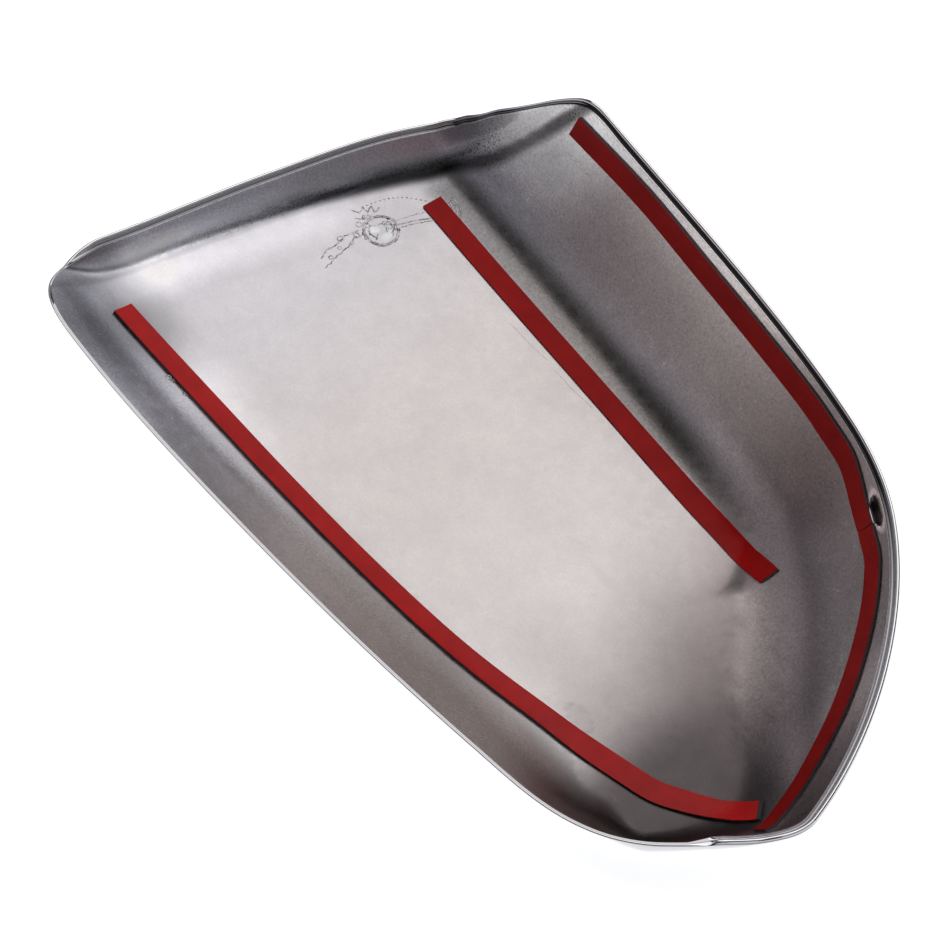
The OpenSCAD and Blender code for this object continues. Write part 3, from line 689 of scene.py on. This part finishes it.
# The two smooth patches inside the ring, each a low dome whose outer ring dips into the floor
PATCH_SIDES = 24
patch_points, patch_faces = [], []
for dx, dy, long_way, short_way, lean in ((-1.6, -1.7, 2.1, 1.1, 1.1), (2.0, 0.6, 2.3, 1.2, 1.9)):
    first = len(patch_points)
    centre = GATE_AT + np.array([dx, dy])
    patch_points.append([*(centre - MIDDLE), WALL + 0.07])
    for ring_share, lift in ((0.6, 0.06), (1.0, 0.012), (1.12, -0.03)):
        for turn_by in np.radians(np.arange(0, 360, 360 // PATCH_SIDES)):
            off = np.array([math.cos(turn_by) * long_way, math.sin(turn_by) * short_way]) * ring_share
            off = off * (1 + 0.12 * math.sin(3 * turn_by + dx))
            off = np.array([off[0] * math.cos(lean) - off[1] * math.sin(lean),
                            off[0] * math.sin(lean) + off[1] * math.cos(lean)])
            on_floor = surface_height((centre + off)[None], True)[0]
            patch_points.append([*(centre + off - MIDDLE), on_floor + lift])
    for k in range(PATCH_SIDES):
        after = (k + 1) % PATCH_SIDES
        patch_faces.append((first, first + 1 + k, first + 1 + after))
        for ring in (first + 1, first + 1 + PATCH_SIDES):
            patch_faces.append((ring + k, ring + PATCH_SIDES + k, ring + PATCH_SIDES + after, ring + after))
    patch_faces.append(tuple(first + 1 + 2 * PATCH_SIDES + k for k in reversed(range(PATCH_SIDES))))
patch_mesh = bpy.data.meshes.new("gate_patches")
patch_mesh.from_pydata((np.array(patch_points) * MM).tolist(), [], patch_faces)
for polygon in patch_mesh.polygons:
    polygon.use_smooth = True
gate_patches = bpy.data.objects.new("gate_patches", patch_mesh)
bpy.context.scene.collection.objects.link(gate_patches)
patch_chrome = bpy.data.materials.new("patch_chrome")
patch_chrome.use_nodes = True
nodes, links = patch_chrome.node_tree.nodes, patch_chrome.node_tree.links
patch_surface = nodes["Principled BSDF"]
patch_surface.inputs["Metallic"].default_value = 1.0
patch_surface.inputs["Roughness"].default_value = 0.34
place = nodes.new("ShaderNodeTexCoord")
bloom = nodes.new("ShaderNodeValToRGB")
bloom.color_ramp.elements[0].color = (0.60, 0.63, 0.66, 1)
bloom.color_ramp.elements[1].color = (0.78, 0.80, 0.83, 1)
links.new(clouds(260, 3, 0, 1), bloom.inputs["Fac"])
links.new(bloom.outputs["Color"], patch_surface.inputs["Base Color"])
patch_mesh.materials.append(patch_chrome)
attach(gate_patches, "root")


# The strip of foam tape along the lower flange, cut from a 6 mm roll and pressed on by hand.
# Its dark foam shows at the edge, and its red liner is still on.
TAPE_W, FOAM_T, LINER_T, BOND_GAP, LINER_GAP = 6.0, 0.62, 0.12, 0.03, 0.02
FOAM_NARROWER = 0.05
LOWER_PATH = [[-94.5, -41.5], [-60, -39.1], [-28, -36.8], [4, -33.5], [34, -28.7], [62, -21.2],
              [83, -14.4], [90, -11.7], [96, -7.5], [102, -2.9], [109.9, 3.5]]


def path_points(path, step=1.0):
    path = np.array(path, float)
    points = []
    for i in range(len(path) - 1):
        a, b, c, d = path[max(0, i - 1)], path[i], path[i + 1], path[min(len(path) - 1, i + 2)]
        span = np.linalg.norm(c - b)
        way_b = (c - a) * span / (np.linalg.norm(b - a) + span)
        way_c = (d - b) * span / (span + np.linalg.norm(d - c))
        count = math.ceil(span / step)
        for t in np.arange(count) / count:
            points.append(b * (2 * t ** 3 - 3 * t ** 2 + 1) + way_b * (t ** 3 - 2 * t ** 2 + t)
                          + c * (3 * t ** 2 - 2 * t ** 3) + way_c * (t ** 3 - t ** 2))
    points.append(path[-1])
    return np.array(points)


def strip_mesh(name, path, low, high, half_width, inset=0.0, across_count=9, slim=(1.0, 1.0)):
    centre = path_points(path)
    along = np.gradient(centre, axis=0)
    along /= np.linalg.norm(along, axis=1)[:, None]
    side = np.stack([-along[:, 1], along[:, 0]], 1)
    probe = 0.5
    drop = (surface_height(centre + side * probe, True)
            - surface_height(centre - side * probe, True)) / (2 * probe)
    # Where the strip is folded up against the wall it looks narrower from above
    folded = np.interp(np.linspace(0, len(slim) - 1, len(centre)), np.arange(len(slim)), slim)
    plan_half = half_width * folded / np.sqrt(1 + drop ** 2)
    rows = []
    profile = [(s, low) for s in np.linspace(1, -1, across_count)]
    profile += [(s, high) for s in np.linspace(-1, 1, across_count)]
    for s, lift in profile:
        # One cut edge of the foam is a little ragged
        ragged = 0.12 * np.sin(np.arange(len(centre)) * 1.7) * np.sin(np.arange(len(centre)) * 0.31)
        reach = plan_half * (s + (inset - inset * s) / 6) + (ragged if inset else 0) * (s < -0.9)
        foot = centre + side * reach[:, None]
        gx = surface_height(foot + [probe, 0], True) - surface_height(foot - [probe, 0], True)
        gy = surface_height(foot + [0, probe], True) - surface_height(foot - [0, probe], True)
        normal = np.column_stack([-gx, -gy, np.ones(len(foot))])
        normal /= np.linalg.norm(normal, axis=1)[:, None]
        rows.append(np.column_stack([foot - MIDDLE, surface_height(foot, True)]) + normal * lift)
    grid = np.stack(rows, 1)
    count, width = grid.shape[:2]
    faces = [(i * width + k, i * width + (k + 1) % width,
              (i + 1) * width + (k + 1) % width, (i + 1) * width + k)
             for i in range(count - 1) for k in range(width)]
    faces += [tuple(reversed(range(width))), tuple((count - 1) * width + k for k in range(width))]
    mesh = bpy.data.meshes.new(name)
    mesh.from_pydata((grid.reshape(-1, 3) * MM).tolist(), [], faces)
    piece = bpy.data.objects.new(name, mesh)
    bpy.context.scene.collection.objects.link(piece)
    return piece


black_foam = bpy.data.materials.new("black_foam")
black_foam.use_nodes = True
foam_surface = black_foam.node_tree.nodes["Principled BSDF"]
foam_surface.inputs["Base Color"].default_value = (0.05, 0.05, 0.056, 1)
foam_surface.inputs["Roughness"].default_value = 0.85


def liner_finish(name, colour, gloss):
    finish = bpy.data.materials.new(name)
    finish.use_nodes = True
    tree = finish.node_tree
    film = tree.nodes["Principled BSDF"]
    film.inputs["Roughness"].default_value = 0.3
    film.inputs["Specular IOR Level"].default_value = gloss
    where = tree.nodes.new("ShaderNodeTexCoord")
    mottle = tree.nodes.new("ShaderNodeTexNoise")
    mottle.inputs["Scale"].default_value = 130
    mottle.inputs["Detail"].default_value = 4
    mottle.inputs["Roughness"].default_value = 0.65
    tree.links.new(where.outputs["Object"], mottle.inputs["Vector"])
    tint = tree.nodes.new("ShaderNodeValToRGB")
    tint.color_ramp.elements[0].position = 0.3
    tint.color_ramp.elements[0].color = (colour[0] * 0.84, colour[1] * 0.8, colour[2] * 0.8, 1)
    tint.color_ramp.elements[1].position = 0.7
    tint.color_ramp.elements[1].color = (min(1, colour[0] * 1.14), colour[1] * 1.3, colour[2] * 1.3, 1)
    tree.links.new(mottle.outputs["Fac"], tint.inputs["Fac"])
    tree.links.new(tint.outputs["Color"], film.inputs["Base Color"])
    return finish


# One red liner film in three copies, painted lighter or darker by how the light falls: this dark copy is
# the painted shade on the upper and tip strips
liner_painted_shaded = liner_finish("liner_painted_shaded", (0.30, 0.006, 0.005), 0.1)


def lay_strip(name, path, finish, inset, foam_tail=0.0, foam_t=FOAM_T, slim=(1.0, 1.0)):
    # At its tip end the foam can stand out a little from under the liner
    ahead_of = np.array(path[-1], float) - np.array(path[-2], float)
    foam_end = np.array(path[-1]) + ahead_of / np.linalg.norm(ahead_of) * foam_tail
    foam = strip_mesh(name + "_foam", path[:-1] + [foam_end.tolist()], BOND_GAP, BOND_GAP + foam_t,
                      TAPE_W / 2 - FOAM_NARROWER, inset, slim=slim)
    foam.data.materials.append(black_foam)
    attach(foam, "root")
    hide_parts(name + "_tape_foam")
    base = BOND_GAP + foam_t + LINER_GAP
    liner = strip_mesh(name + "_liner", path, base, base + LINER_T, TAPE_W / 2, slim=slim)
    liner.data.materials.append(finish)
    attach(liner, "root")
    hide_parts(name + "_tape_liner")


# The lower strip's copy of the liner is painted lighter, as a painted highlight
liner_painted_lit = liner_finish("liner_film_painted_lit", (0.57, 0.009, 0.009), 0.18)
lay_strip("lower", LOWER_PATH, liner_painted_lit, 0.05, 0.7)


# The strip across the middle of the floor, straight, running up the bowl at its tip end.
# It is pressed down flatter than the others, so next to no foam shows.
# The middle strip's copy of the liner is painted lighter than the shaded one, as a weaker painted highlight
liner_painted_half_lit = liner_finish("liner_film_painted_half_lit", (0.42, 0.004, 0.004), 0.12)
MIDDLE_PATH = [[-79.4, 48.1], [-52, 48.0], [-2, 48.3], [32, 48.3], [47, 48.5], [54.5, 47.9], [62.3, 46.8]]
lay_strip("middle", MIDDLE_PATH, liner_painted_half_lit, 0.5, 0.35, 0.3)


# The strip along the upper rim, high on the sloped face. Its tip end folds up on to the wall,
# where the tip strip takes over.
UPPER_PATH = [[-59.6, 75.1], [-31, 75.3], [-10, 74.8], [12, 74.0], [33, 72.7], [46.1, 71.3],
              [58.2, 69.1], [73.12, 62.5]]
lay_strip("upper", UPPER_PATH, liner_painted_shaded, 0.5, slim=(1, 1, 1, 1, 1, 1, 0.82))


# The strip round the tip, butted against the upper one beside the recess. It follows the wall
# round, and ends close under the rim, beside the end of the lower strip.
TIP_PATH = [[73.3, 62.4], [81.3, 57.8], [92.0, 47.3], [103.3, 31.4], [111.1, 15.2], [114.0, 6.5],
            [115.5, 0.6], [115.8, -3.0]]
lay_strip("tip", TIP_PATH, liner_painted_shaded, 0.5, slim=(0.82, 0.84, 0.86, 0.86, 0.9))
